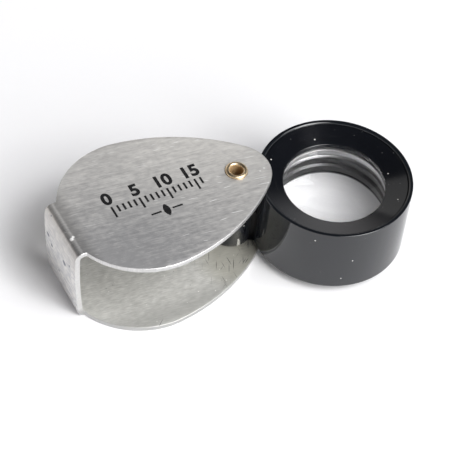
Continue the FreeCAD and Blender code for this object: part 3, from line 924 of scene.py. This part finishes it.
def make_ticks(ink):
    """Millimetre marks, longer at the fives, up to one past the last numeral."""
    edit = bmesh.new()
    for number in range(TICK_COUNT):
        x = SCALE_START + number
        length = LONG_TICK if number % 5 == 0 else SHORT_TICK
        add_bar(edit, x - TICK_WIDTH / 2, x + TICK_WIDTH / 2, TICK_TOP - length, TICK_TOP)
    print_shapes("scale_ticks", edit, ink)


def make_lens_mark(ink):
    """Small double-convex lens and its axis."""
    edit = bmesh.new()
    x, y = MARK_CENTRE
    turn = asin(MARK_HALF_HEIGHT / MARK_CURVE)
    reach = MARK_CURVE * cos(turn)
    right = arc_points((x - reach, y), MARK_CURVE, -turn, turn, 12)
    left = arc_points((x + reach, y), MARK_CURVE, pi - turn, pi + turn, 12)
    add_prism(edit, right + left[1:-1])
    near, far = MARK_AXIS
    for low, high in ((x - far, x - near), (x + near, x + far)):
        add_bar(edit, low, high, y - MARK_LINE / 2, y + MARK_LINE / 2)
    print_shapes("lens_mark", edit, ink)


# --- lens drum ---

DRUM_STEPS = 176
FILLET_STEPS = 8
LUG_STEPS = 44
NECK_STEPS = 14
MOUTH_STEPS = 192
PIVOT_STEPS = 48
LUG_CENTRE = (-LENS_OFFSET, 0)
DRUM_EDGE = 0.12  # rounding of the drum's edges
BEZEL_PLAY = 0.03
GLASS_CHAMFER = 0.12
SPACER_ROUND = 0.12  # rounding of the spacer's ridges

# Where the spacer's end land stops, its groove starts and stops, and its middle land starts, as
# shares of the way from its middle to its end.
END_LAND = 0.6
GROOVE_OUTER = 0.5
GROOVE_INNER = 0.3
MIDDLE_LAND = 0.2


def fillet_centre():
    """Centre of a neck fillet: distances from the optical axis, toward the lug and across it."""
    to_drum = DRUM_RADIUS + NECK_FILLET
    to_lug = LUG_RADIUS + NECK_FILLET
    along = (to_drum ** 2 - to_lug ** 2 + LENS_OFFSET ** 2) / (2 * LENS_OFFSET)
    return along, sqrt(to_drum ** 2 - along ** 2)


def drum_outlines():
    """Plan of the drum with its lug, and the hidden part of the lug's circle."""
    along, across = fillet_centre()
    drum_turn = atan2(across, -along)
    lug_turn = atan2(across, LENS_OFFSET - along)
    drum_arc = arc_points((0, 0), DRUM_RADIUS, -drum_turn, drum_turn, DRUM_STEPS)
    fillet = (-along, across)
    upper_fillet = arc_points(fillet, NECK_FILLET, drum_turn - pi, lug_turn - pi, FILLET_STEPS)
    lug_arc = arc_points(LUG_CENTRE, LUG_RADIUS, lug_turn, 2 * pi - lug_turn, LUG_STEPS)
    lower_fillet = [(x, -y) for x, y in reversed(upper_fillet)]
    hidden_arc = arc_points(LUG_CENTRE, LUG_RADIUS, -lug_turn, lug_turn, NECK_STEPS)
    outline = drum_arc + upper_fillet[1:] + lug_arc[1:] + lower_fillet[1:-1]
    return outline, lug_arc + hidden_arc[1:-1], hidden_arc


def circle_points(centre, radius, steps):
    """Points on a full circle, without repeating the first."""
    return arc_points(centre, radius, 0, 2 * pi, steps)[:-1]


def add_wall(edit, points, levels):
    """Upright wall on a closed loop of points, between heights."""
    rings = [[edit.verts.new((x, y, z)) for x, y in points] for z in levels]
    for ring, above in zip(rings, rings[1:]):
        bridge(edit, ring, above)


def add_caps(edit, outline, hidden_arc):
    """Flat ends of the drum and of its lug, with the mouth and the pivot hole left open."""
    loops = [outline, circle_points((0, 0), RIM_RADIUS + RIM_ROUND, MOUTH_STEPS),
             circle_points(LUG_CENTRE, LUG_HOLE, PIVOT_STEPS)]
    points = []
    edges = []
    for loop in loops:
        first = len(points)
        points += loop
        edges += [(first + i, first + (i + 1) % len(loop)) for i in range(len(loop))]
    first = len(points)
    points += hidden_arc
    edges += [(first + i, first + i + 1) for i in range(len(hidden_arc) - 1)]
    flat = delaunay_2d_cdt([Vector(p) for p in points], edges, [], 1, 1e-5, False)
    corners, _, triangles = flat[:3]
    for triangle in triangles:
        middle = sum((corners[i] for i in triangle), Vector((0, 0))) / 3
        from_lug = (middle - Vector(LUG_CENTRE)).length
        in_neck = abs(middle.y) < NECK_HALF and -LENS_OFFSET < middle.x < 0
        if middle.length < RIM_RADIUS + RIM_ROUND or from_lug < LUG_HOLE:
            continue
        if middle.length > DRUM_RADIUS and from_lug > LUG_RADIUS and not in_neck:
            continue
        on_lug = from_lug < LUG_RADIUS
        for height in (LUG_TOP, LUG_FOOT) if on_lug else (HALF_DRUM, -HALF_DRUM):
            edit.faces.new([edit.verts.new((*corners[i], height)) for i in triangle])


def add_bore(edit):
    """Inside of the drum: bezel seat above, cell for the glasses, funnel below."""
    rim_centre = (RIM_RADIUS + RIM_ROUND, HALF_DRUM - RIM_ROUND)
    profile = arc_points(rim_centre, RIM_ROUND, pi / 2, pi, 6)
    profile += [(RIM_RADIUS, SEAT), (CELL_RADIUS, SEAT), (CELL_RADIUS, -FOOT_SEAT),
                (APERTURE, -FOOT_SEAT), (APERTURE, -FOOT_MOUTH), (RIM_RADIUS, -HALF_DRUM),
                (RIM_RADIUS + RIM_ROUND, -HALF_DRUM)]
    rings = [[edit.verts.new((*point, z)) for point in circle_points((0, 0), r, MOUTH_STEPS)]
             for r, z in profile]
    for ring, below in zip(rings, rings[1:]):
        bridge(edit, ring, below)


def make_drum(material):
    """Drum and lug as one moulding."""
    outline, lug_circle, hidden_arc = drum_outlines()
    edit = bmesh.new()
    add_caps(edit, outline, hidden_arc)
    add_wall(edit, outline, (-HALF_DRUM, HALF_DRUM))
    add_wall(edit, lug_circle, (HALF_DRUM, LUG_TOP))
    add_wall(edit, lug_circle, (LUG_FOOT, -HALF_DRUM))
    add_wall(edit, circle_points(LUG_CENTRE, LUG_HOLE, PIVOT_STEPS), (LUG_FOOT, LUG_TOP))
    add_bore(edit)
    piece = piece_from("drum_with_lug", edit, [material])
    soften_edges(piece, DRUM_EDGE, 35)
    finish_drum_part(piece, "lens_barrel")


def finish_drum_part(piece, node):
    """Put a piece in its place in the drum and let it stand for its CAD node."""
    set_on_axis(piece)
    stand_for(piece, node, "lens")


def make_bezel(material):
    """Funnel ring pressed into the mouth; its outer edge lies just below the rim."""
    outer = RIM_RADIUS - BEZEL_PLAY
    profile = rounded([
        (APERTURE, SEAT, 0.05),
        (outer, SEAT, 0.05),
        (outer, HALF_DRUM - RIM_STEP, 0.10),
        (APERTURE, MOUTH, 0.14),
    ])
    piece = lathe("mouth_bezel", profile, material)
    keep_faces_flat(piece)
    finish_drum_part(piece, "front_bezel")


def lens_profile(side, seat, curve):
    """Half section of a plano-convex glass, flat face outward; side is 1 above, -1 below."""
    ball_height = seat - LENS_EDGE + sqrt(curve ** 2 - STACK_RADIUS ** 2)
    edge_turn = asin(STACK_RADIUS / curve)
    profile = [(r, seat) for r in spread(0, STACK_RADIUS - GLASS_CHAMFER, 24)]
    profile.append((STACK_RADIUS, seat - GLASS_CHAMFER))
    profile += [(curve * sin(turn), ball_height - curve * cos(turn))
                for turn in spread(edge_turn, 0, 48)]
    profile[-1] = (0, profile[-1][1])
    return [(r, side * z) for r, z in profile]


def make_lenses():
    """The two glasses, flat faces outward."""
    glass = optical_glass()
    upper = lathe("upper_glass", lens_profile(1, SEAT, UPPER_CURVE), glass, 160, 20)
    lower = lathe("lower_glass", lens_profile(-1, FOOT_SEAT, LOWER_CURVE), glass, 160, 20)
    finish_drum_part(upper, "front_lens")
    finish_drum_part(lower, "rear_lens")


def spacer_end(seat, curve):
    """Distance from the drum's middle to the spacer's end, which touches a glass at its bore."""
    bulge = sqrt(curve ** 2 - SPACER_BORE ** 2) - sqrt(curve ** 2 - STACK_RADIUS ** 2)
    return seat - LENS_EDGE - bulge - SPACER_PLAY


def make_spacer():
    """Turned ring between the glasses: three rounded lands with two grooves between them."""
    top = spacer_end(SEAT, UPPER_CURVE)
    foot = spacer_end(FOOT_SEAT, LOWER_CURVE)
    half = (top + foot) / 2
    middle = (top - foot) / 2
    levels = [(SPACER_BORE, 1.0), (SPACER_BORE, END_LAND), (SPACER_GROOVE, GROOVE_OUTER),
              (SPACER_GROOVE, GROOVE_INNER), (SPACER_BORE, MIDDLE_LAND)]
    inside = [(r, share * half, SPACER_ROUND) for r, share in levels]
    mirrored = [(r, -z, radius) for r, z, radius in reversed(inside)]
    outside = [(STACK_RADIUS, -half, 0.05), (STACK_RADIUS, half, 0.05)]
    profile = [(r, middle + z) for r, z in rounded(outside + inside + mirrored)]
    piece = lathe("ridged_spacer", profile, turned_aluminium(), 192, 50)
    finish_drum_part(piece, "spacer_ring")


# --- stage ---

CAMERA_DIRECTION = (-123.2502, 49.1248)  # azimuth from +X and elevation, in degrees
CAMERA_ROLL = radians(7.0243)
CAMERA_DISTANCE = 337.23
CAMERA_TARGET = Vector((0.3442, 1.9196, -CASE_TOP))
FOCAL_LENGTH = 158.04
SENSOR = 36.0

# Pale walls around the table: azimuth in degrees from +X, and colour times brightness.
WALLS = [
    (-123, (1.15, 1.16, 1.18)),
    (-33, (0.30, 0.30, 0.31)),
    (57, (0.58, 0.58, 0.585)),
    (147, (0.32, 0.28, 0.265)),
]
CEILING = (0.01, 0.01, 0.011)
WALL_TOP = (0.50, 0.15)  # the walls fade in over this span of height
WALL_SIDE = (-0.3, 0.3)  # and over this span of the cosine to their direction
BACKDROP = (0.88, 0.88, 0.89)
TABLE_HALF = 3000

# Soft boxes aimed at the object: azimuth and elevation in degrees, power in watts, and colour.
COOL = (0.985, 0.99, 1.0)
NEUTRAL = (1.0, 0.995, 0.985)
WARM = (1.0, 0.985, 0.96)
LAMPS = {
    "high_soft_box": (-45, 62, 13.8, COOL),
    "near_soft_box": (-45, 45, 8.1, COOL),
    "front_soft_box": (-75, 50, 22.5, NEUTRAL),
    "low_soft_box": (-72, 25, 20.6, NEUTRAL),
    "back_soft_box": (86, 33, 1.7, WARM),
}
LAMP_SIZE = 1.0  # metres
LAMP_DISTANCE = 2.0


def direction(azimuth, elevation):
    """Unit vector for an azimuth from +X and an elevation, in degrees."""
    turn = radians(azimuth)
    rise = radians(elevation)
    return Vector((cos(turn) * cos(rise), sin(turn) * cos(rise), sin(rise)))


def make_camera():
    """Camera in front of the object and above it, rolled a little."""
    lens = bpy.data.cameras.new("camera")
    lens.lens = FOCAL_LENGTH
    lens.sensor_width = SENSOR
    lens.clip_start = 0.01
    camera = new_object("camera", lens)
    back = direction(*CAMERA_DIRECTION)
    turned = back.to_track_quat("Z", "Y").to_matrix().to_4x4() @ Matrix.Rotation(CAMERA_ROLL, 4, "Z")
    place = Matrix.Translation((CAMERA_TARGET + back * CAMERA_DISTANCE) * MM)
    camera.matrix_world = place @ turned
    bpy.context.scene.camera = camera


def make_floor():
    """Plain table under the lower leaf."""
    edit = bmesh.new()
    bmesh.ops.create_grid(edit, x_segments=1, y_segments=1, size=TABLE_HALF)
    bmesh.ops.translate(edit, verts=edit.verts, vec=(0, 0, -CASE_TOP))
    floor = piece_from("table", edit, [white_table()])


def make_lamp(name, azimuth, elevation, power, colour):
    """Square soft box aimed at the object."""
    toward = direction(azimuth, elevation)
    lamp = bpy.data.lights.new(name, "AREA")
    lamp.shape = "SQUARE"
    lamp.size = LAMP_SIZE
    lamp.energy = power
    lamp.color = colour
    holder = new_object(name, lamp)
    holder.location = toward * LAMP_DISTANCE
    holder.rotation_mode = "QUATERNION"
    holder.rotation_quaternion = toward.to_track_quat("Z", "Y")
    holder.visible_camera = False


def make_world():
    """Dark ceiling over four low pale walls; the camera itself sees a plain pale backdrop."""
    world = bpy.data.worlds.new("studio")
    bpy.context.scene.world = world
    room = Paint(world)
    ray = room.add("TexCoord").outputs["Generated"]
    low = room.fade(room.along("Z", ray), *WALL_TOP)
    light = CEILING
    for azimuth, colour in WALLS:
        facing = room.add("VectorMath", {0: ray, 1: direction(azimuth, 0)},
                          operation="DOT_PRODUCT").outputs["Value"]
        share = room.product(low, room.fade(facing, *WALL_SIDE))
        light = room.add("VectorMath", {0: light, 1: room.scaled(colour, share)}).outputs[0]
    dim = room.add("Background", {"Color": light})
    pale = room.add("Background", {"Color": BACKDROP})
    seen = room.add("LightPath").outputs["Is Camera Ray"]
    both = room.add("MixShader", {0: seen, 1: dim.outputs[0], 2: pale.outputs[0]})
    room.show(both.outputs[0], "OutputWorld")


def make_stage():
    """Camera, table, surroundings and lamps."""
    make_camera()
    make_floor()
    make_world()
    for name, (azimuth, elevation, power, colour) in LAMPS.items():
        make_lamp(name, azimuth, elevation, power, colour)
    bpy.context.scene.view_settings.view_transform = "Standard"


def make_magnifier():
    """Every visible piece of the object."""
    make_case()
    make_eyelet()
    ink = printed_ink()
    make_numerals(ink)
    make_ticks(ink)
    make_lens_mark(ink)
    body_black = dusty_black("moulded_black", (0.0055, 0.0066, 0.0086), 0.08, 1.62)
    bezel_black = dusty_black("bezel_black", (0.0038, 0.0043, 0.0058), 0.13, 1.60)
    make_drum(body_black)
    make_bezel(bezel_black)
    make_lenses()
    make_spacer()


make_stage()
make_magnifier()
